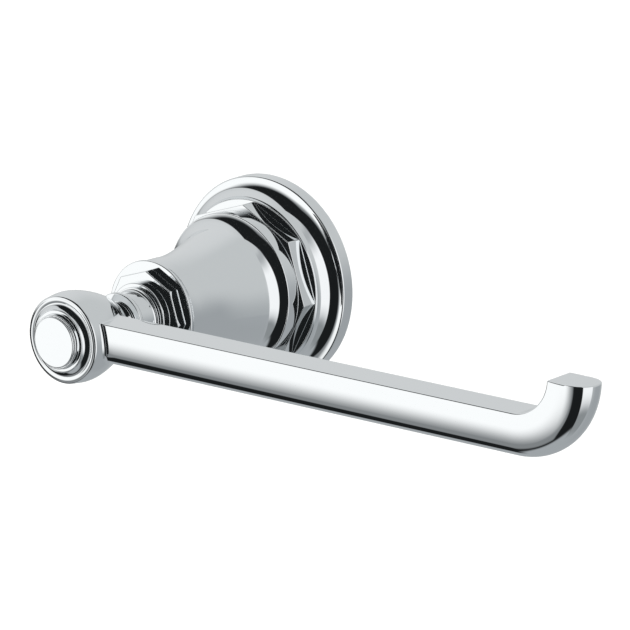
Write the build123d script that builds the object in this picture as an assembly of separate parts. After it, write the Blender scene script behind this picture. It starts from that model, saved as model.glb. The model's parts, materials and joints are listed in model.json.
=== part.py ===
from build123d import *
from math import cos, sin, radians
import os

# Toilet paper holder with one upturned arm, in millimetres.
# X runs along the arm, +Z is up, and the wall is the plane Y = 0 with the room towards -Y.
# The post stands straight out of the wall on the Y axis. A point of a turned outline is
# given as (radius, distance out from the wall).

# ---- driving dimensions ----
flange_radius = 28.75          # 57.5 mm wall flange
flange_side = 3.95             # straight side of the flange, measured from the wall
edge_round = 0.5
ledge_out = 9.1                # front face of the flange, which the octagon stands on
ledge_radius = 23.15
cavity_radius = 23.6           # recess that drops over the wall bracket
cavity_out = 4.1
pocket_radius = 20.8           # deeper recess for screw heads and the back nut
pocket_out = 7.4

octagon_turn = -4.5            # degrees, from +X towards +Z, of one corner
collar_flat = 21.4             # half the width across flats
collar_out = 13.8
ring_radius = 21.05
rim_out = 17.8                 # front of the round ring, where the bell starts
core_bore = 12.0               # bore of octagon and ring, filled by the bell's spigot

bell_out = 49.75               # flat front disc of the bell
bell_radius = 14.25
bell_wall = 3.0
flare_radius = 5.4             # round between the ring and the cone

neck_flat = 11.3               # small octagon on the disc
neck_octagon_out = 52.5
neck_ring_radius = 9.2
neck_ring_out = 54.9
spool_out = 61.2
neck_collar_radius = 8.05
neck_collar_out = 62.5

knob_start = 63.6
knob_radius = 12.05            # widest part of the knob
knob_widest = 80.0
knob_rim_radius = 11.65
knob_out = 84.15
bezel_radius = 9.75
bezel_seat = 84.12
ring_crown = 84.27             # top of the half-round ring between rim and bezel
ledge_step = 85.6
cap_radius = 6.7
cap_out = 87.4
recess_radius = 8.0
recess_out = 82.8

arm_line = 76.4                # distance of the arm's middle from the wall
arm_top = 5.6                  # flat top above the post axis
arm_bottom = 5.9
arm_half = 5.0                 # half the greatest width
bend_start = 140.6
bend_inner = 10.1
tip_height = 15.25             # horizontal end face of the upturned end
tenon_radius = 3.5
tenon_end = -4.5

rod_radius = 3.0               # M6 tie rod that clamps the whole post
rod_hole = 3.2
rod_end = 71.0
thread_gap = 0.05
nut_back = 2.0
nut_thick = 3.0
lock_washer_thick = 1.2
flat_washer_thick = 1.2

bracket_radius = 23.05
bracket_out = 3.8
bracket_floor = 1.2
bracket_bore = 10.0
screw_hole_radius = 2.4
screw_spacing = 32.0
pin_radius = 1.5
pin_place = 16.0
grub_radius = 1.5
grub_out = 2.1
grub_length = 5.0

os.makedirs("parts", exist_ok=True)


def at(radius, out):
    return (radius, -out)


def turned(*edges):
    # a closed outline on the right of the post axis, spun about the axis
    outline = Curve() + [*edges]
    return revolve(make_face(outline.edges()), axis=Axis.Y)


def turned_points(*points):
    return turned(Polyline(*[at(*p) for p in points], close=True))


def tube(outer, inner, start, end):
    return turned_points((inner, start), (outer, start), (outer, end), (inner, end))


def rod(radius, start, end):
    return turned_points((0, start), (radius, start), (radius, end), (0, end))


def octagon(half_flat, start, end, bore, soften):
    corner = half_flat / cos(radians(22.5))
    turns = [radians(octagon_turn + 45 * step) for step in range(8)]
    outline = Polygon(*[(corner * cos(t), corner * sin(t)) for t in turns], align=None)
    prism = extrude(Plane.XZ.offset(start) * outline, amount=end - start)
    front = prism.edges().filter_by_position(Axis.Y, -end - 0.01, -end + 0.01)
    return fillet(front, soften) - rod(bore, start, end)


def hexagon(half_flat, start, end):
    outline = RegularPolygon(radius=half_flat, side_count=6, major_radius=False)
    return extrude(Plane.XZ.offset(start) * outline, amount=end - start)


def cross_rod(radius, place, z_from, z_to):
    # cylinder along Z, place = (x, distance from the wall)
    x, out = place
    rod_plane = Plane(origin=(x, -out, z_from), z_dir=(0, 0, 1))
    return extrude(rod_plane * Circle(radius), amount=z_to - z_from)


def save(node, shape):
    solids = shape.solids()
    shape = solids[0] if len(solids) == 1 else Compound(children=list(solids))
    shape.label = node
    export_step(shape, f"parts/{node}.step")
    print(node, len(solids), round(shape.volume, 1))


# ---- wall bracket and what holds the holder on it ----
def wall_bracket():
    plate = turned_points((0, 0), (bracket_radius, 0), (bracket_radius, bracket_out),
                          (bracket_bore, bracket_out), (bracket_bore, bracket_floor),
                          (0, bracket_floor))
    for side in (-1, 1):
        place = Plane.XZ * Pos(side * screw_spacing / 2, 0)
        plate -= extrude(place * Circle(screw_hole_radius), amount=bracket_out)
    pin_hole = Plane.XZ * Pos(0, pin_place)
    return plate - extrude(pin_hole * Circle(pin_radius), amount=bracket_out)


def locating_pin():
    return extrude(Plane.XZ.offset(0.5) * Pos(0, pin_place) * Circle(pin_radius), amount=8.1)


def set_screw():
    tip = -(bracket_radius + thread_gap)
    grub = cross_rod(grub_radius, (0, grub_out), tip - grub_length, tip)
    socket = RegularPolygon(radius=0.75, side_count=6, major_radius=False)
    low = Plane(origin=(0, -grub_out, tip - grub_length), z_dir=(0, 0, 1))
    return grub - extrude(low * socket, amount=2.0)


# ---- the turned post, from the wall outwards ----
def flange():
    cove = flange_radius - edge_round - ledge_radius - 0.2
    side_top = flange_side - edge_round
    cove_start = flange_radius - edge_round
    cove_end = cove_start - cove
    mid = cove * sin(radians(45))
    foot_round = 0.25
    edges = [
        Polyline(at(rod_hole, ledge_out), at(rod_hole, pocket_out), at(pocket_radius, pocket_out),
                 at(pocket_radius, cavity_out), at(cavity_radius, cavity_out),
                 at(cavity_radius, 0), at(flange_radius, 0), at(flange_radius, side_top)),
        RadiusArc(at(flange_radius, side_top), at(cove_start, flange_side), -edge_round),
        ThreePointArc(at(cove_start, flange_side),
                      at(cove_start - mid, flange_side + cove - mid),
                      at(cove_end, flange_side + cove)),
        Line(at(cove_end, flange_side + cove), at(cove_end, ledge_out - foot_round)),
        RadiusArc(at(cove_end, ledge_out - foot_round), at(cove_end - foot_round, ledge_out),
                  -foot_round),
        Line(at(cove_end - foot_round, ledge_out), at(rod_hole, ledge_out)),
    ]
    body = turned(*edges)
    grub_hole = cross_rod(grub_radius + thread_gap, (0, grub_out), -flange_radius - 1,
                          -cavity_radius + 1)
    pin_hole = Plane.XZ.offset(pocket_out - 1) * Pos(0, pin_place) * Circle(pin_radius + 0.06)
    return body - grub_hole - extrude(pin_hole, amount=2.3)


def octagon_collar():
    return octagon(collar_flat, ledge_out, collar_out, core_bore, 0.22)


def collar_ring():
    soft = 0.3
    return turned(
        Polyline(at(core_bore, rim_out), at(core_bore, collar_out), at(ring_radius, collar_out),
                 at(ring_radius, rim_out - soft)),
        RadiusArc(at(ring_radius, rim_out - soft), at(ring_radius - soft, rim_out), -soft),
        Line(at(ring_radius - soft, rim_out), at(core_bore, rim_out)))


def bell():
    # a round flare off the ring, a long cone, and a slim throat that opens a little at the disc
    foot = ring_radius - 0.3
    foot_lean, cone_lean = radians(72), radians(16)
    middle = (foot + flare_radius * cos(foot_lean), rim_out + flare_radius * sin(foot_lean))

    def flare(lean):
        return at(middle[0] - flare_radius * cos(lean), middle[1] - flare_radius * sin(lean))

    throat = [flare(cone_lean), at(15.98, 26.0), at(14.75, 31.0), at(13.9, 36.0),
              at(13.68, 40.0), at(13.8, 44.5), at(bell_radius - 0.25, bell_out - 1.2)]
    lip = 0.25
    inner = 9.0
    return turned(
        ThreePointArc(at(foot, rim_out), flare((foot_lean + cone_lean) / 2), flare(cone_lean)),
        Spline(*throat, tangents=[(-sin(cone_lean), -cos(cone_lean)), (0.06, -1)]),
        Polyline(throat[-1], at(bell_radius, bell_out - 0.95), at(bell_radius, bell_out - lip)),
        RadiusArc(at(bell_radius, bell_out - lip), at(bell_radius - lip, bell_out), -lip),
        Polyline(at(bell_radius - lip, bell_out), at(rod_hole, bell_out),
                 at(rod_hole, bell_out - bell_wall - 1), at(inner, bell_out - bell_wall - 1),
                 at(inner, ledge_out), at(core_bore - thread_gap, ledge_out),
                 at(core_bore - thread_gap, rim_out), at(foot, rim_out)))


def neck_octagon():
    return octagon(neck_flat, bell_out, neck_octagon_out, rod_hole, 0.35)


def neck_ring():
    soft = 0.3
    return turned(
        Polyline(at(rod_hole, neck_ring_out), at(rod_hole, neck_octagon_out),
                 at(neck_ring_radius, neck_octagon_out),
                 at(neck_ring_radius, neck_ring_out - soft)),
        RadiusArc(at(neck_ring_radius, neck_ring_out - soft),
                  at(neck_ring_radius - soft, neck_ring_out), -soft),
        Line(at(neck_ring_radius - soft, neck_ring_out), at(rod_hole, neck_ring_out)))


def neck_spool():
    # a low step, a quarter hollow and a plain barrel that opens a touch under the collar
    step, step_out = 8.15, 55.8
    soft = 0.15
    hollow = 0.7
    barrel = step - soft - hollow
    mid = hollow * sin(radians(45))
    return turned(
        Polyline(at(rod_hole, spool_out), at(rod_hole, neck_ring_out), at(step, neck_ring_out),
                 at(step, step_out - soft)),
        RadiusArc(at(step, step_out - soft), at(step - soft, step_out), -soft),
        ThreePointArc(at(step - soft, step_out),
                      at(step - soft - mid, step_out + hollow - mid),
                      at(barrel, step_out + hollow)),
        Polyline(at(barrel, step_out + hollow), at(barrel, spool_out - 0.45),
                 at(barrel + 0.25, spool_out), at(rod_hole, spool_out)))


def neck_collar():
    soft = 0.3
    return turned(
        Polyline(at(rod_hole, neck_collar_out), at(rod_hole, spool_out),
                 at(neck_collar_radius - soft, spool_out)),
        RadiusArc(at(neck_collar_radius - soft, spool_out),
                  at(neck_collar_radius, spool_out + soft), -soft),
        Line(at(neck_collar_radius, spool_out + soft),
             at(neck_collar_radius, neck_collar_out - soft)),
        RadiusArc(at(neck_collar_radius, neck_collar_out - soft),
                  at(neck_collar_radius - soft, neck_collar_out), -soft),
        Line(at(neck_collar_radius - soft, neck_collar_out), at(rod_hole, neck_collar_out)))


# ---- knob and arm ----
def knob_outline():
    # egg with its small end on the neck, cut square at the front rim
    shoulder = 5.8
    soft = 0.6
    egg = [at(5.2, knob_start), at(8.5, 68.0), at(10.35, 72.0), at(11.55, 76.0),
           at(knob_radius, knob_widest), at(knob_rim_radius, knob_out - soft)]
    return [
        Polyline(at(0, knob_out), at(0, neck_collar_out), at(shoulder, neck_collar_out),
                 at(shoulder, knob_start - 0.4), egg[0]),
        Spline(*egg, tangents=[(0.75, -1), (-0.15, -1)]),
        RadiusArc(egg[-1], at(knob_rim_radius - soft, knob_out), -soft),
        ThreePointArc(at(knob_rim_radius - soft, knob_out), at(10.4, ring_crown),
                      at(bezel_radius, bezel_seat)),
        Line(at(bezel_radius, bezel_seat), at(0, bezel_seat)),
        Line(at(0, bezel_seat), at(0, knob_out)),
    ]


def arm_section(x):
    side_top, side_mid, side_low = arm_half - 0.25, arm_half, arm_half - 0.42
    low = -2.4
    soft = 0.45
    right = ThreePointArc((side_top, arm_top - soft), (side_mid, 1.4), (side_low, low))
    left = ThreePointArc((-side_low, low), (-side_mid, 1.4), (-side_top, arm_top - soft))
    section = make_face((Curve() + [
        right,
        ThreePointArc((side_low, low), (0, -arm_bottom), (-side_low, low)),
        left,
        ThreePointArc((-side_top, arm_top - soft),
                      (-side_top + 0.3 * soft, arm_top - 0.3 * soft), (-side_top + soft, arm_top)),
        Line((-side_top + soft, arm_top), (side_top - soft, arm_top)),
        ThreePointArc((side_top - soft, arm_top), (side_top - 0.3 * soft, arm_top - 0.3 * soft),
                      (side_top, arm_top - soft)),
    ]).edges())
    return Plane(origin=(x, -arm_line, 0), x_dir=(0, 1, 0), z_dir=(1, 0, 0)) * section


def arm():
    start = 4.0
    bar = extrude(arm_section(start), amount=bend_start - start)
    bend_axis = Axis((bend_start, -arm_line, bend_inner + arm_top), (0, -1, 0))
    bend = revolve(arm_section(bend_start), axis=bend_axis, revolution_arc=90)
    above = Pos(bend_start, -arm_line, tip_height + 10) * Box(80, 40, 20)
    bar = bar + (bend - above) - turned(*knob_outline())
    tenon = Plane(origin=(tenon_end, -arm_line, 0), z_dir=(1, 0, 0)) * Circle(tenon_radius)
    return bar + extrude(tenon, amount=20.0)


def knob_body():
    body = turned(*knob_outline())
    body -= rod(rod_radius + thread_gap, neck_collar_out, rod_end + 0.5)
    body -= rod(recess_radius, recess_out, bezel_seat)
    hole = Plane(origin=(tenon_end - 0.3, -arm_line, 0), z_dir=(1, 0, 0))
    body -= extrude(hole * Circle(tenon_radius + thread_gap), amount=30.0)
    return body - rod(2.0 + thread_gap, arm_line, recess_out)


def arm_lock_screw():
    start = arm_line + tenon_radius + thread_gap
    screw = rod(2.0, start, recess_out - 0.1)
    return screw - hexagon(1.0, recess_out - 1.4, recess_out - 0.1)


def knob_bezel():
    # a hollow sweep up to a small ledge, then a rounded collar round the cap
    cap_seat = 86.3
    bore = 5.0
    top = ledge_step + 1.35
    return turned(
        Polyline(at(bore, cap_seat), at(bore, recess_out), at(recess_radius - 0.1, recess_out),
                 at(recess_radius - 0.1, bezel_seat), at(bezel_radius, bezel_seat)),
        Spline(at(bezel_radius, bezel_seat), at(8.75, 84.6), at(8.15, 85.3),
               tangents=[(-1, -0.1), (-0.45, -1)]),
        RadiusArc(at(8.15, 85.3), at(7.9, ledge_step), -0.5),
        Line(at(7.9, ledge_step), at(7.4, ledge_step)),
        ThreePointArc(at(7.4, ledge_step), at(7.22, 85.68), at(7.15, 85.85)),
        Line(at(7.15, 85.85), at(7.15, top - 0.3)),
        RadiusArc(at(7.15, top - 0.3), at(6.85, top), -0.3),
        Polyline(at(6.85, top), at(cap_radius + 0.05, top), at(cap_radius + 0.05, cap_seat),
                 at(bore, cap_seat)))


def knob_cap():
    soft = 0.3
    return turned(
        Polyline(at(0, cap_out), at(0, 84.6), at(4.95, 84.6), at(4.95, 86.3),
                 at(cap_radius, 86.3), at(cap_radius, cap_out - soft)),
        RadiusArc(at(cap_radius, cap_out - soft), at(cap_radius - soft, cap_out), -soft),
        Line(at(cap_radius - soft, cap_out), at(0, cap_out)))


# ---- the clamp inside the post ----
def tie_rod():
    return rod(rod_radius, nut_back - 0.3, rod_end)


def back_nut():
    nut = hexagon(5.0, nut_back, nut_back + nut_thick)
    return nut - rod(rod_radius + thread_gap, nut_back, nut_back + nut_thick)


def lock_washer():
    start = nut_back + nut_thick
    washer = tube(5.9, rod_radius + 0.1, start, start + lock_washer_thick)
    split = Plane(origin=(4.5, -start, 0), z_dir=(0, -1, 0)) * Rectangle(4.0, 0.8)
    return washer - extrude(split, amount=lock_washer_thick)


def flat_washer():
    start = nut_back + nut_thick + lock_washer_thick
    return tube(9.0, rod_hole, start, start + flat_washer_thick)


for piece in (wall_bracket, locating_pin, set_screw, flange, octagon_collar, collar_ring, bell,
              neck_octagon, neck_ring, neck_spool, neck_collar, knob_body, knob_bezel, knob_cap,
              arm, arm_lock_screw, tie_rod, back_nut, lock_washer, flat_washer):
    save(piece.__name__, piece())
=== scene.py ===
import json
import math
import bpy
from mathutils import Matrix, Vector


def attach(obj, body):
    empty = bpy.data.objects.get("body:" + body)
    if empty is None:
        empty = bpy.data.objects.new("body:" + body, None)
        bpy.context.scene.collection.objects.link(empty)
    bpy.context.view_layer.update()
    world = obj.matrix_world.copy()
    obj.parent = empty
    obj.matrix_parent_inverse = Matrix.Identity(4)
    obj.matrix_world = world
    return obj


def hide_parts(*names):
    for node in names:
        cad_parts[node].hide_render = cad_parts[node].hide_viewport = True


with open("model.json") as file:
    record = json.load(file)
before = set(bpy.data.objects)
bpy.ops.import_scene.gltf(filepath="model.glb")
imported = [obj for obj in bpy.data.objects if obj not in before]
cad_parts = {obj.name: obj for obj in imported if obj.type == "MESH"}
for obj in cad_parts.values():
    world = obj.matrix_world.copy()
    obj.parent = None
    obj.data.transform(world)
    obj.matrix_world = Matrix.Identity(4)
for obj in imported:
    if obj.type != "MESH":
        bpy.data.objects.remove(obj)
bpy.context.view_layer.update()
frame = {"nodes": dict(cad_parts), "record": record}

mm = 0.001
scene = bpy.context.scene


def linear(hexColour):
    # sRGB hex to linear
    parts = [int(hexColour[i:i + 2], 16) / 255 for i in (1, 3, 5)]
    return tuple(c / 12.92 if c <= 0.04045 else ((c + 0.055) / 1.055) ** 2.4 for c in parts)


def addNode(tree, kind, settings=None, inputs=None):
    # one node, its settings, and its inputs as values or as sockets to link
    node = tree.nodes.new(kind)
    for key, value in (settings or {}).items():
        setattr(node, key, value)
    for key, value in (inputs or {}).items():
        if isinstance(value, bpy.types.NodeSocket):
            tree.links.new(value, node.inputs[key])
        else:
            node.inputs[key].default_value = value
    return node


def startMetal(name):
    # a metal material, its tree, its shader and the place on the piece in millimetres
    mat = bpy.data.materials.new(name)
    mat.use_nodes = True
    tree = mat.node_tree
    shader = tree.nodes["Principled BSDF"]
    shader.inputs["Metallic"].default_value = 1.0
    coords = addNode(tree, "ShaderNodeTexCoord")
    place = addNode(tree, "ShaderNodeMapping", {}, {"Vector": coords.outputs["Object"],
                                                    "Scale": (1 / mm, 1 / mm, 1 / mm)})
    return mat, tree, shader, place.outputs[0]


# Bright chrome: nickel and chrome plated on buffed brass. A mirror with a trace of cool grey,
# softened only by the finest buffing haze and a slight waviness left by the polishing mop.
# Sizes are in mm. Wear is the range of the two noises together that turns into haze.
chrome = {"colour": "#F4F6F7", "roughness": 0.018, "haze": 0.03, "hazeSize": 9.0,
          "hairlineSize": 0.35, "wear": (0.15, 0.5),
          "waveSize": 14.0, "waveHeight": 0.004, "waveStrength": 0.2}


def brightChrome(name, fineness):
    # fineness = how much closer the buffing lines lie along x, y and z
    mat, tree, shader, place = startMetal(name)
    haze = addNode(tree, "ShaderNodeTexNoise", {}, {"Vector": place, "Detail": 3.0,
                                                    "Scale": 1 / chrome["hazeSize"]})
    hairPlace = addNode(tree, "ShaderNodeMapping", {}, {"Vector": place, "Scale": fineness})
    hair = addNode(tree, "ShaderNodeTexNoise", {}, {"Vector": hairPlace.outputs[0], "Detail": 2.0,
                                                    "Scale": 1 / chrome["hairlineSize"]})
    worn = addNode(tree, "ShaderNodeMath", {"operation": "MULTIPLY"},
                   {0: haze.outputs[0], 1: hair.outputs[0]})
    rough = addNode(tree, "ShaderNodeMapRange", {}, {
        "Value": worn.outputs[0], "From Min": chrome["wear"][0], "From Max": chrome["wear"][1],
        "To Min": chrome["roughness"], "To Max": chrome["roughness"] + chrome["haze"]})
    wave = addNode(tree, "ShaderNodeTexNoise", {}, {"Vector": place, "Detail": 1.0,
                                                    "Scale": 1 / chrome["waveSize"]})
    bump = addNode(tree, "ShaderNodeBump", {}, {
        "Height": wave.outputs[0], "Strength": chrome["waveStrength"],
        "Distance": chrome["waveHeight"] * mm})
    shader.inputs["Base Color"].default_value = (*linear(chrome["colour"]), 1)
    tree.links.new(rough.outputs[0], shader.inputs["Roughness"])
    tree.links.new(bump.outputs[0], shader.inputs["Normal"])
    return mat


# Zinc plate on pressed or rolled steel: dull blue-grey, with soft clouding from the bath and
# the fine grain of its crystals. Sizes are in mm.
zinc = {"clouding": (0.3, 0.7), "roughSpread": 0.08, "grainSize": 0.2, "grainHeight": 0.02,
        "grainStrength": 0.3}


def zincPlate(name, light, dark, roughness, cloudSize):
    mat, tree, shader, place = startMetal(name)
    cloud = addNode(tree, "ShaderNodeTexNoise", {}, {"Vector": place, "Detail": 4.0,
                                                     "Scale": 1 / cloudSize})
    grain = addNode(tree, "ShaderNodeTexNoise", {}, {"Vector": place, "Detail": 2.0,
                                                     "Scale": 1 / zinc["grainSize"]})
    tone = addNode(tree, "ShaderNodeMix", {"data_type": "RGBA"},
                   {"Factor": cloud.outputs[0], "A": (*linear(dark), 1), "B": (*linear(light), 1)})
    rough = addNode(tree, "ShaderNodeMapRange", {}, {
        "Value": cloud.outputs[0], "From Min": zinc["clouding"][0], "From Max": zinc["clouding"][1],
        "To Min": roughness - zinc["roughSpread"], "To Max": roughness + zinc["roughSpread"]})
    bump = addNode(tree, "ShaderNodeBump", {}, {
        "Height": grain.outputs[0], "Strength": zinc["grainStrength"],
        "Distance": zinc["grainHeight"] * mm})
    tree.links.new(tone.outputs["Result"], shader.inputs["Base Color"])
    tree.links.new(rough.outputs[0], shader.inputs["Roughness"])
    tree.links.new(bump.outputs[0], shader.inputs["Normal"])
    return mat


def paint(piece, mat):
    piece.data.materials.clear()
    piece.data.materials.append(mat)


turnedChrome = brightChrome("chromePlatedTurnedBrass", (1, 6, 1))
milledChrome = brightChrome("chromePlatedMilledBrass", (6, 1, 1))
armChrome = brightChrome("chromePlatedCastArm", (1, 6, 6))
bracketZinc = zincPlate("zincPlatedBracket", "#B9BDC0", "#8C9094", 0.38, 6.0)
hardwareZinc = zincPlate("brightZincHardware", "#C6C7C4", "#95968F", 0.27, 2.5)
slotFinish = {"chrome_turned": turnedChrome, "chrome_milled": milledChrome,
              "chrome_arm": armChrome, "zinc_bracket": bracketZinc, "steel_hardware": hardwareZinc}
for part in frame["record"]["subparts"]:
    paint(frame["nodes"][part["node"]], slotFinish[part["material_slot"]])
print("materials done")

# Tools for turning on a lathe and for drilling. Lengths are in mm, angles in degrees:
# guard = how far past a round its guard point lies, settle = passes that even out a curve
turning = {"steps": 216, "roundStep": 11, "guard": 0.05, "sharpAbove": 32.0, "weld": 0.004,
           "settle": 80, "drillSides": 64}


def softened(corners):
    # (radius, out, round) corners of an outline to points; a guard point on each side of a
    # round keeps the flats beside it flat in the shine
    points = []
    for i, (radius, out, soft) in enumerate(corners):
        here = Vector((radius, out))
        if soft == 0 or i in (0, len(corners) - 1):
            points.append(here)
            continue
        back = (Vector(corners[i - 1][:2]) - here).normalized()
        ahead = (Vector(corners[i + 1][:2]) - here).normalized()
        half = back.angle(ahead) / 2
        reach = soft / math.tan(half)
        middle = here + (back + ahead).normalized() * soft / math.sin(half)
        start, end = here + back * reach - middle, here + ahead * reach - middle
        turn = start.angle_signed(end)
        count = max(3, round(abs(math.degrees(turn)) / turning["roundStep"]))
        points.append(here + back * (reach + turning["guard"]))
        for step in range(count + 1):
            angle = -turn * step / count
            points.append(middle + Vector((start.x * math.cos(angle) - start.y * math.sin(angle),
                                           start.x * math.sin(angle) + start.y * math.cos(angle))))
        points.append(here + ahead * (reach + turning["guard"]))
    return [(p.x, p.y) for p in points]


def arc(middle, radius, startTurn, endTurn, count):
    # points on a circle, turns in degrees from the radius direction towards the room
    turns = [math.radians(startTurn + (endTurn - startTurn) * k / count) for k in range(count + 1)]
    return [(middle[0] + radius * math.cos(t), middle[1] + radius * math.sin(t)) for t in turns]


def arcThrough(a, b, c, count):
    # points on the circle through three points
    (ax, ay), (bx, by), (cx, cy) = a, b, c
    aa, bb, cc = ax * ax + ay * ay, bx * bx + by * by, cx * cx + cy * cy
    twice = 2 * (ax * (by - cy) + bx * (cy - ay) + cx * (ay - by))
    x = (aa * (by - cy) + bb * (cy - ay) + cc * (ay - by)) / twice
    y = (aa * (cx - bx) + bb * (ax - cx) + cc * (bx - ax)) / twice
    start, mid, end = (math.atan2(q - y, p - x) for p, q in (a, b, c))
    turn = (end - start + math.pi) % (2 * math.pi) - math.pi
    if abs((mid - start + math.pi) % (2 * math.pi) - math.pi) > abs(turn):
        turn -= math.copysign(2 * math.pi, turn)
    radius = math.hypot(ax - x, ay - y)
    turns = [start + turn * k / count for k in range(count + 1)]
    return [(x + radius * math.cos(t), y + radius * math.sin(t)) for t in turns]


def flowing(points, startRun, endRun, count):
    # an even curve through the points, leaving and arriving along the two given runs
    spots = [Vector(p) for p in points]
    gaps = [(b - a).length for a, b in zip(spots, spots[1:])]
    slopes = [(b - a) / gap for a, b, gap in zip(spots, spots[1:], gaps)]
    slopes = [Vector(startRun).normalized()] + slopes[1:] + [Vector(endRun).normalized()]
    for sweep in range(turning["settle"]):
        for i in range(1, len(spots) - 1):
            before, after = 1 / gaps[i - 1], 1 / gaps[i]
            drawn = 3 * ((spots[i] - spots[i - 1]) * before ** 2
                         + (spots[i + 1] - spots[i]) * after ** 2)
            slopes[i] = ((drawn - slopes[i - 1] * before - slopes[i + 1] * after)
                         / (2 * (before + after)))
    curve = []
    for i, gap in enumerate(gaps):
        for step in range(count):
            t = step / count
            curve.append(spots[i] * (2 * t ** 3 - 3 * t ** 2 + 1)
                         + spots[i + 1] * (3 * t ** 2 - 2 * t ** 3)
                         + slopes[i] * gap * (t ** 3 - 2 * t ** 2 + t)
                         + slopes[i + 1] * gap * (t ** 3 - t ** 2))
    return [(p.x, p.y) for p in curve] + [tuple(points[-1])]


def wireStart(name, place):
    # a small plane drawn together to one point, ready to be pulled along an outline
    bpy.ops.object.select_all(action="DESELECT")
    bpy.ops.mesh.primitive_plane_add(size=mm, location=place)
    piece = bpy.context.object
    piece.name = name
    bpy.ops.object.transform_apply(location=True, rotation=True, scale=True)
    bpy.ops.object.mode_set(mode="EDIT")
    bpy.ops.mesh.select_all(action="SELECT")
    bpy.ops.mesh.merge(type="CENTER")
    return piece


def pull(step):
    bpy.ops.mesh.extrude_region_move(TRANSFORM_OT_translate={"value": step})


def closeUp():
    # from edit mode: weld, turn faces outwards, smooth all but the crisp edges
    bpy.ops.mesh.select_all(action="SELECT")
    bpy.ops.mesh.remove_doubles(threshold=turning["weld"] * mm)
    bpy.ops.mesh.normals_make_consistent(inside=False)
    bpy.ops.object.mode_set(mode="OBJECT")
    bpy.ops.object.shade_smooth_by_angle(angle=math.radians(turning["sharpAbove"]))


def turnedPiece(name, outline, steps=turning["steps"], closed=True):
    # an outline of (radius, out from the wall), spun round the axis of the post
    trail = [Vector((radius, -out, 0)) * mm for radius, out in outline]
    if closed:
        trail.append(trail[0])
    piece = wireStart(name, trail[0])
    for here, there in zip(trail, trail[1:]):
        pull(there - here)
    bpy.ops.mesh.select_all(action="SELECT")
    bpy.ops.mesh.spin(steps=steps, angle=2 * math.pi, center=(0, 0, 0), axis=(0, 1, 0))
    closeUp()
    return piece


def cutAway(piece, tool):
    # take the tool's solid out of the piece
    cut = piece.modifiers.new("cut", "BOOLEAN")
    cut.operation = "DIFFERENCE"
    cut.solver = "EXACT"
    cut.object = tool
    bpy.ops.object.select_all(action="DESELECT")
    bpy.context.view_layer.objects.active = piece
    piece.select_set(True)
    bpy.ops.object.modifier_apply(modifier=cut.name)
    bpy.data.objects.remove(tool)


def drill(hole, place, turned=(0, 0, 0)):
    # a drill for one hole; it stands along Z and is then turned
    bpy.ops.object.select_all(action="DESELECT")
    bpy.ops.mesh.primitive_cylinder_add(
        vertices=turning["drillSides"], radius=hole["radius"] * mm, depth=hole["depth"] * mm,
        location=[v * mm for v in place], rotation=turned)
    return bpy.context.object


def fit(piece, mat, node):
    paint(piece, mat)
    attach(piece, "holder")
    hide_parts(node)


# Flange: round plate with a hollow sweep up to the ledge. Cavity and pocket are (radius, out).
flangeSet = {"radius": 28.75, "side": 3.95, "backRound": 0.15, "edgeRound": 0.5,
             "sweep": 4.9, "sweepSteps": 22, "ledgeOut": 9.1, "ledgeRound": 0.24, "ledgeEnd": 12.0,
             "cavity": (23.6, 4.1), "pocket": (20.8, 7.4), "insideRound": 0.3, "stepRound": 0.1,
             "rodHole": 3.2, "screwHole": {"radius": 1.55, "depth": 9.0, "out": 2.1, "down": 27.25},
             "pinHole": {"radius": 1.56, "depth": 2.6, "up": 16.0}}


def makeFlange(s):
    cavity, cavityOut = s["cavity"]
    pocket, pocketOut = s["pocket"]
    edge = s["radius"] - s["edgeRound"]
    ledge, sweepOut = edge - s["sweep"], s["side"] + s["sweep"]
    # each run leaves out the end points that its neighbours bring
    rim = softened([(cavity, 0, 0), (s["radius"], 0, s["backRound"]),
                    (s["radius"], s["side"], s["edgeRound"]), (ledge, s["side"], 0)])[1:-2]
    sweep = arc((edge, sweepOut), s["sweep"], 270, 180, s["sweepSteps"])
    top = softened([(ledge, sweepOut, 0), (ledge, s["ledgeOut"], s["ledgeRound"]),
                    (s["ledgeEnd"], s["ledgeOut"], 0)])[2:-1]
    inside = softened([
        (s["ledgeEnd"], s["ledgeOut"], 0), (s["rodHole"], s["ledgeOut"], 0),
        (s["rodHole"], pocketOut, 0), (pocket, pocketOut, s["insideRound"]),
        (pocket, cavityOut, s["stepRound"]), (cavity, cavityOut, s["insideRound"]), (cavity, 0, 0)])
    piece = turnedPiece("wallFlange", rim + sweep + top + inside)
    screw, pin = s["screwHole"], s["pinHole"]
    cutAway(piece, drill(screw, (0, -screw["out"], -screw["down"])))
    cutAway(piece, drill(pin, (0, -pocketOut, pin["up"]), (math.pi / 2, 0, 0)))
    return piece


fit(makeFlange(flangeSet), turnedChrome, "flange")
print("flange done")

# Octagons: eight flats with a small soft edge, turned a little on the post
octagonSet = {"sides": 8, "turn": 4.5, "edgeSteps": 4, "softAbove": 35}
collarSet = {"flat": 21.4, "from": 9.1, "to": 13.8, "bore": 12.2, "edge": 0.2}
neckBlockSet = {"flat": 11.3, "from": 49.75, "to": 52.5, "bore": 3.6, "edge": 0.28}


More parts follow.
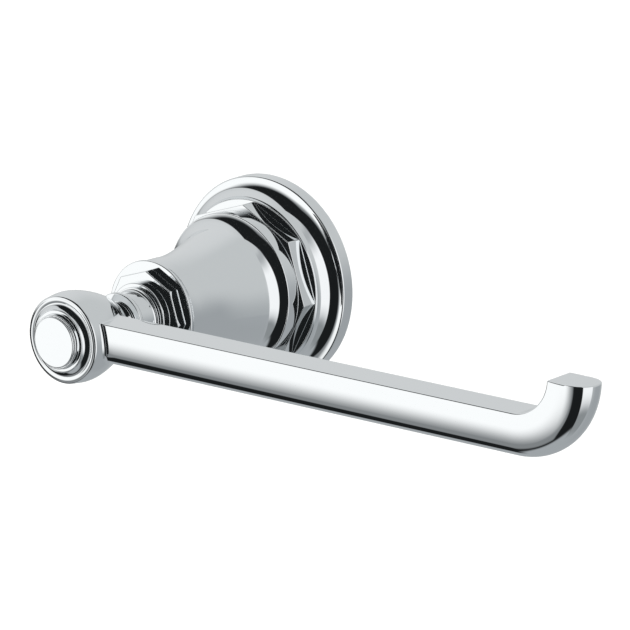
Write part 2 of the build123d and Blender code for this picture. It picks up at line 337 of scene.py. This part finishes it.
def makeOctagon(name, s):
    slant = math.cos(math.pi / octagonSet["sides"])
    corner, bore = s["flat"] / slant, s["bore"] / slant
    piece = turnedPiece(name, [(bore, s["from"]), (corner, s["from"]), (corner, s["to"]),
                               (bore, s["to"])], octagonSet["sides"])
    bpy.ops.object.mode_set(mode="EDIT")
    bpy.ops.mesh.select_all(action="SELECT")
    bpy.ops.transform.rotate(value=math.radians(-octagonSet["turn"]), orient_axis="Y",
                             center_override=(0, 0, 0))
    bpy.ops.object.mode_set(mode="OBJECT")
    soft = piece.modifiers.new("softEdges", "BEVEL")
    soft.width = s["edge"] * mm
    soft.segments = octagonSet["edgeSteps"]
    soft.limit_method = "ANGLE"
    soft.angle_limit = math.radians(octagonSet["softAbove"])
    soft.harden_normals = True
    bpy.ops.object.modifier_apply(modifier=soft.name)
    return piece


fit(makeOctagon("octagonCollar", collarSet), milledChrome, "octagon_collar")
fit(makeOctagon("neckOctagon", neckBlockSet), milledChrome, "neck_octagon")
print("octagons done")

# Bell: flared foot, hollow sweep to a waist, flat disc at the front. Leans are in degrees.
bellSet = {"foot": (20.75, 17.8), "flare": 5.4, "flareSteps": 20, "footLean": 72, "coneLean": 16,
           "throat": [(15.98, 26.0), (14.75, 31.0), (13.9, 36.0), (13.68, 40.0), (13.8, 44.5)],
           "throatEnd": (14.0, 48.55), "endRun": (0.25, 1), "throatSteps": 9,
           "disc": 14.25, "discFrom": 48.85, "discRound": 0.5, "front": 49.75, "lip": 0.3,
           "faceEnd": 10.0, "bore": 3.2, "webBack": 45.75, "inner": 9.0, "back": 9.1,
           "spigot": 11.95}


def makeBell(s):
    foot, lean, coneLean = s["foot"], math.radians(s["footLean"]), math.radians(s["coneLean"])
    middle = (foot[0] + s["flare"] * math.cos(lean), foot[1] + s["flare"] * math.sin(lean))
    flare = arc(middle, s["flare"], 180 + s["footLean"], 180 + s["coneLean"], s["flareSteps"])
    throat = flowing([flare[-1]] + s["throat"] + [s["throatEnd"]],
                     (-math.sin(coneLean), math.cos(coneLean)), s["endRun"], s["throatSteps"])
    face = softened([(*s["throatEnd"], 0), (s["disc"], s["discFrom"], s["discRound"]),
                     (s["disc"], s["front"], s["lip"]), (s["faceEnd"], s["front"], 0)])
    inside = [(s["bore"], s["front"]), (s["bore"], s["webBack"]), (s["inner"], s["webBack"]),
              (s["inner"], s["back"]), (s["spigot"], s["back"]), (s["spigot"], foot[1])]
    return turnedPiece("bell", flare[:-1] + throat[:-1] + face + inside)


fit(makeBell(bellSet), turnedChrome, "bell")

# Plain rings: the bell's foot ring and the steps on both sides of the neck
footRingSet = {"bore": 12.0, "radius": 21.05, "from": 13.8, "to": 17.8, "backRound": 0.12,
               "frontRound": 0.3, "faceEnd": 18.0}
neckRingSet = {"bore": 3.2, "radius": 9.2, "from": 52.5, "to": 54.9, "backRound": 0.1,
               "frontRound": 0.3, "faceEnd": 7.0}
neckCollarSet = {"bore": 3.2, "radius": 8.05, "from": 61.2, "to": 62.5, "backRound": 0.3,
                 "frontRound": 0.3, "faceEnd": 6.0}
spoolSet = {"bore": 3.2, "from": 54.9, "to": 61.2, "step": 8.15, "stepOut": 55.8,
            "stepRounds": (0.1, 0.15), "stepEnd": 7.96, "barrel": 7.3, "hollow": 0.7,
            "hollowTurns": (266, 180), "hollowSteps": 10, "flareFrom": 60.75, "flareRound": 0.3,
            "flare": 7.55}


def makeRing(name, s):
    return turnedPiece(name, softened([
        (s["bore"], s["to"], 0), (s["bore"], s["from"], 0), (s["radius"], s["from"], s["backRound"]),
        (s["radius"], s["to"], s["frontRound"]), (s["faceEnd"], s["to"], 0)]))


def makeSpool(s):
    barrelFrom = s["stepOut"] + s["hollow"]
    step = softened([(s["bore"], s["to"], 0), (s["bore"], s["from"], 0),
                     (s["step"], s["from"], s["stepRounds"][0]),
                     (s["step"], s["stepOut"], s["stepRounds"][1]), (s["stepEnd"], s["stepOut"], 0)])
    hollow = arc((s["barrel"] + s["hollow"], barrelFrom), s["hollow"], *s["hollowTurns"],
                 s["hollowSteps"])
    barrel = softened([(s["barrel"], barrelFrom, 0), (s["barrel"], s["flareFrom"], s["flareRound"]),
                       (s["flare"], s["to"], 0)])
    return turnedPiece("neckSpool", step[:-1] + hollow + barrel[1:])


fit(makeRing("bellFootRing", footRingSet), turnedChrome, "collar_ring")
fit(makeRing("neckRing", neckRingSet), turnedChrome, "neck_ring")
fit(makeSpool(spoolSet), turnedChrome, "neck_spool")
fit(makeRing("neckCollar", neckCollarSet), turnedChrome, "neck_collar")
print("post done")

# Knob: an egg with a half-round ring on its rim. Corners are (radius, out, round).
armLine = 76.4      # how far the middle of the arm stands out from the wall
knobSet = {"shoulder": [(3.05, 62.5, 0), (5.8, 62.5, 0.1), (5.8, 63.2, 0.15), (5.3, 63.55, 0)],
           "egg": [(5.2, 63.6), (8.5, 68.0), (10.35, 72.0), (11.55, 76.0), (12.05, 80.0),
                   (11.65, 83.55)],
           "eggRuns": ((0.75, 1), (-0.12, 1)), "eggSteps": 9,
           "rimRound": 0.6, "rimTurns": (5, 82), "rimSteps": 9,
           "crown": [(10.65, 84.27), (9.75, 84.12)], "crownRuns": ((-1, 0.14), (-1, -0.22)),
           "crownSteps": 8,
           "inside": [(8.0, 84.12), (8.0, 82.8), (2.05, 82.8), (2.05, 71.5), (3.05, 71.5)],
           "armHole": {"radius": 3.55, "depth": 27.6, "along": 9.0}}


def eggLine():
    return flowing(knobSet["egg"], *knobSet["eggRuns"], knobSet["eggSteps"])


def makeKnob(s):
    neck = softened(s["shoulder"])
    egg = eggLine()
    rimMiddle = (s["egg"][-1][0] - s["rimRound"], s["egg"][-1][1])
    rim = arc(rimMiddle, s["rimRound"], *s["rimTurns"], s["rimSteps"])
    crown = flowing([rim[-1]] + s["crown"], *s["crownRuns"], s["crownSteps"])
    piece = turnedPiece("knob", neck[:-1] + egg + rim[1:] + crown[1:] + s["inside"])
    cutAway(piece, drill(s["armHole"], (s["armHole"]["along"], -armLine, 0), (0, math.pi / 2, 0)))
    return piece


fit(makeKnob(knobSet), turnedChrome, "knob_body")

bezelSet = {"sweep": [(9.75, 84.12), (8.75, 84.62), (8.2, 85.25)],
            "sweepRuns": ((-1, 0.12), (-0.4, 1)), "sweepSteps": 9,
            "step": [(8.2, 85.25, 0), (8.12, 85.6, 0.2), (7.25, 85.6, 0.12), (7.15, 86.95, 0.28),
                     (6.75, 86.95, 0.05), (6.75, 86.3, 0)],
            "inside": [(5.0, 86.3), (5.0, 82.8), (7.9, 82.8), (7.9, 84.12)]}


def makeBezel(s):
    sweep = flowing(s["sweep"], *s["sweepRuns"], s["sweepSteps"])
    return turnedPiece("knobBezel", sweep[:-1] + softened(s["step"]) + s["inside"])


fit(makeBezel(bezelSet), turnedChrome, "knob_bezel")

capSet = {"outline": [(0, 84.6, 0), (4.95, 84.6, 0), (4.95, 86.3, 0), (6.7, 86.3, 0.1),
                      (6.7, 87.4, 0.3), (4.0, 87.4, 0), (0, 87.4, 0)]}
cap = turnedPiece("knobCap", softened(capSet["outline"]), closed=False)
fit(cap, turnedChrome, "knob_cap")
print("knob done")

# Arm: one bar, bent up at its end. Section points are (half width, height).
armSet = {"top": 5.6, "edge": 0.45, "edgeMid": 0.3, "edgeGuard": 0.06, "edgeSteps": 8,
          "side": 4.75, "sideMid": (5.0, 1.4), "sideLow": (4.58, -2.4), "sideSteps": 12,
          "bottom": -5.9, "underSteps": 20,
          "rings": [8, 8.5, 9, 9.5, 10, 10.5, 11, 11.5, 12, 13, 14, 15], "barRings": 40,
          "bendStart": 140.6, "bendInner": 10.1, "bendSteps": 44,
          "tip": 15.25, "tipRound": 0.35, "tipSteps": 4}
# Root: the small hollow fillet where the bar grows out of the knob
rootSet = {"out": 2.0, "up": 1.2, "along": 1.0, "sink": 0.25, "end": 14.5, "knobRadius": 12.0}


def armSection(s):
    # half of the section, from the middle of the top round to the bottom
    side, top, low = s["side"], s["top"], s["sideLow"]
    inner, shoulder, mid = side - s["edge"], top - s["edge"], s["edgeMid"] * s["edge"]
    edge = arcThrough((inner, top), (side - mid, top - mid), (side, shoulder), s["edgeSteps"])
    wall = arcThrough((side, shoulder), s["sideMid"], low, s["sideSteps"])
    under = arcThrough(low, (0, s["bottom"]), (-low[0], low[1]), 2 * s["underSteps"])
    return ([(0, top), (inner - s["edgeGuard"], top)] + edge + wall[1:]
            + under[1:s["underSteps"] + 1])


def rootFillet(piece):
    # no operator follows the egg, so the first rings are set one vertex at a time
    s, egg = rootSet, eggLine()
    root = [v for v in piece.data.vertices if v.co.x <= s["end"] * mm]
    rings = sorted({round(v.co.x / mm, 2) for v in root})
    for v in root:
        turn = math.radians(90) * rings.index(round(v.co.x / mm, 2)) / (len(rings) - 1)
        across, up = -v.co.y / mm - armLine, v.co.z / mm
        away = Vector((across, up)).normalized() * (1 - math.sin(turn))
        across, up = across + away.x * s["out"], up + away.y * s["up"]
        out = armLine + across
        radius = s["knobRadius"]
        for a, b in zip(egg, egg[1:]):
            if a[1] <= out <= b[1]:
                radius = a[0] + (b[0] - a[0]) * (out - a[1]) / (b[1] - a[1])
        foot = math.sqrt(max(radius ** 2 - up ** 2, 0)) - s["sink"]
        v.co = Vector((foot + s["along"] * (1 - math.cos(turn)), -out, up)) * mm


def makeArm(s):
    half = armSection(s)
    loop = half + [(-w, z) for w, z in reversed(half[1:-1])]
    trail = [Vector((s["rings"][0], -armLine - w, z)) * mm for w, z in loop]
    piece = wireStart("arm", trail[0])
    for here, there in zip(trail, trail[1:] + trail[:1]):
        pull(there - here)
    bpy.ops.mesh.select_all(action="SELECT")
    bpy.ops.mesh.remove_doubles(threshold=turning["weld"] * mm)
    bpy.ops.mesh.edge_face_add()
    barFrom, count = s["rings"][-1], s["barRings"]
    bar = [barFrom + (s["bendStart"] - barFrom) * k / count for k in range(1, count + 1)]
    stations = s["rings"] + bar
    for here, there in zip(stations, stations[1:]):
        pull(((there - here) * mm, 0, 0))
    bendMiddle = (s["bendStart"] * mm, -armLine * mm, (s["top"] + s["bendInner"]) * mm)
    bpy.ops.mesh.spin(steps=s["bendSteps"], angle=math.radians(90), center=bendMiddle,
                      axis=(0, 1, 0))
    bpy.ops.mesh.select_all(action="SELECT")
    bpy.ops.mesh.bisect(plane_co=(0, 0, s["tip"] * mm), plane_no=(0, 0, 1), use_fill=True,
                        clear_outer=True)
    bpy.ops.mesh.select_mode(type="EDGE")
    bpy.ops.mesh.region_to_loop()
    bpy.ops.mesh.bevel(offset=s["tipRound"] * mm, segments=s["tipSteps"], affect="EDGES")
    bpy.ops.mesh.select_mode(type="VERT")
    closeUp()
    rootFillet(piece)
    return piece


arm = makeArm(armSet)
fit(arm, armChrome, "arm")
arm.visible_glossy = False      # keeps the post's own shine clear of the bar in front of it
print("arm done")

# Studio, seen only in the shine; every other ray sees plain white. Bearings are degrees from
# straight in front, -Y, towards +X, and heights are degrees above level. Each panel is painted
# over the ones before it, and side and end are how softly its edges fade.
studio = {
    "base": "#BEC1C2", "strength": 1.1, "plainStrength": 1.25,
    "panels": [
        {"tone": "#CDCFD0", "from": -150, "to": -62, "low": -8, "high": 72, "side": 25, "end": 22},
        {"tone": "#A6AAAC", "from": -200, "to": 200, "low": -120, "high": -10, "side": 5, "end": 22},
        {"tone": "#9EA2A5", "from": -200, "to": 200, "low": -120, "high": -32, "side": 5, "end": 2},
        {"tone": "#999DA0", "from": 118, "to": 176, "low": -70, "high": 4, "side": 14, "end": 22},
        {"tone": "#A8ABAD", "from": 40, "to": 104, "low": -40, "high": 60, "side": 3, "end": 6},
        {"tone": "#868A8C", "from": 40, "to": 104, "low": -72, "high": -40, "side": 3, "end": 8},
        {"tone": "#F3F4F5", "from": 40, "to": 104, "low": -35, "high": 38, "side": 3, "end": 14},
        {"tone": "#191B1C", "from": -62, "to": 41, "low": -60, "high": 120, "side": 3, "end": 5},
        {"tone": "#191B1C", "from": -62, "to": 45, "low": -60, "high": 50, "side": 2, "end": 8},
        {"tone": "#191B1C", "from": -105, "to": -58, "low": -62, "high": -3, "side": 4, "end": 4},
        {"tone": "#7E8183", "from": -60, "to": -12, "low": -52, "high": 24, "side": 3, "end": 5},
        {"tone": "#FAFBFB", "from": -60, "to": -20, "low": -25, "high": 16, "side": 6, "end": 10},
    ],
}


def fade(tree, value, middle, half, rising):
    # 0 to 1 across middle - half to middle + half, or 1 to 0 when not rising
    low, high = (0.0, 1.0) if rising else (1.0, 0.0)
    return addNode(tree, "ShaderNodeMapRange", {"interpolation_type": "SMOOTHSTEP"}, {
        "Value": value, "From Min": middle - half, "From Max": middle + half,
        "To Min": low, "To Max": high}).outputs[0]


def studioWorld(s):
    world = bpy.data.worlds.new("softStudio")
    scene.world = world
    world.use_nodes = True
    tree = world.node_tree
    tree.nodes.clear()
    coords = addNode(tree, "ShaderNodeTexCoord")
    axes = addNode(tree, "ShaderNodeSeparateXYZ", {}, {0: coords.outputs["Generated"]})
    front = addNode(tree, "ShaderNodeMath", {"operation": "MULTIPLY"}, {0: axes.outputs[1], 1: -1.0})
    turn = addNode(tree, "ShaderNodeMath", {"operation": "ARCTAN2"},
                   {0: axes.outputs[0], 1: front.outputs[0]})
    rise = addNode(tree, "ShaderNodeMath", {"operation": "ARCSINE"}, {0: axes.outputs[2]})
    bearing, height = (addNode(tree, "ShaderNodeMath", {"operation": "DEGREES"},
                               {0: angle.outputs[0]}).outputs[0] for angle in (turn, rise))
    sky = addNode(tree, "ShaderNodeRGB")
    sky.outputs[0].default_value = (*linear(s["base"]), 1)
    colour = sky.outputs[0]
    for panel in s["panels"]:
        mask, *edges = [fade(tree, bearing, panel["from"], panel["side"], True),
                        fade(tree, bearing, panel["to"], panel["side"], False),
                        fade(tree, height, panel["low"], panel["end"], True),
                        fade(tree, height, panel["high"], panel["end"], False)]
        for edge in edges:
            mask = addNode(tree, "ShaderNodeMath", {"operation": "MULTIPLY"},
                           {0: mask, 1: edge}).outputs[0]
        colour = addNode(tree, "ShaderNodeMix", {"data_type": "RGBA"}, {
            "Factor": mask, "A": colour, "B": (*linear(panel["tone"]), 1)}).outputs["Result"]
    lit = addNode(tree, "ShaderNodeBackground", {}, {"Color": colour, "Strength": s["strength"]})
    plain = addNode(tree, "ShaderNodeBackground", {}, {"Color": (1, 1, 1, 1),
                                                       "Strength": s["plainStrength"]})
    seen = addNode(tree, "ShaderNodeLightPath")
    both = addNode(tree, "ShaderNodeMixShader", {}, {"Fac": seen.outputs["Is Glossy Ray"],
                                                     1: plain.outputs[0], 2: lit.outputs[0]})
    addNode(tree, "ShaderNodeOutputWorld", {}, {"Surface": both.outputs[0]})


studioWorld(studio)

# Floor of matt white paper, and the camera
floorSet = {"height": -0.12, "size": 12.0, "colour": "#F7F7F6", "roughness": 0.9}
bpy.ops.object.select_all(action="DESELECT")
bpy.ops.mesh.primitive_plane_add(size=floorSet["size"], location=(0, 0, floorSet["height"]))
floor = bpy.context.object
floor.name = "floor"
floor.visible_glossy = False
paper = bpy.data.materials.new("seamlessPaper")
paper.use_nodes = True
paperShader = paper.node_tree.nodes["Principled BSDF"]
paperShader.inputs["Base Color"].default_value = (*linear(floorSet["colour"]), 1)
paperShader.inputs["Roughness"].default_value = floorSet["roughness"]
floor.data.materials.append(paper)

view = {"azimuth": 38.9, "elevation": 14.87, "place": (0.67455, -0.81653, 0.27049),
        "lens": 228.8, "sensor": 36.0, "clipEnd": 50.0}
camData = bpy.data.cameras.new("camera")
camera = bpy.data.objects.new("camera", camData)
scene.collection.objects.link(camera)
camera.location = view["place"]
camera.rotation_euler = (math.radians(90 - view["elevation"]), 0, math.radians(view["azimuth"]))
camData.lens = view["lens"]
camData.sensor_width = view["sensor"]
camData.clip_end = view["clipEnd"]
scene.camera = camera
scene.view_settings.view_transform = "Standard"
print("stage done")
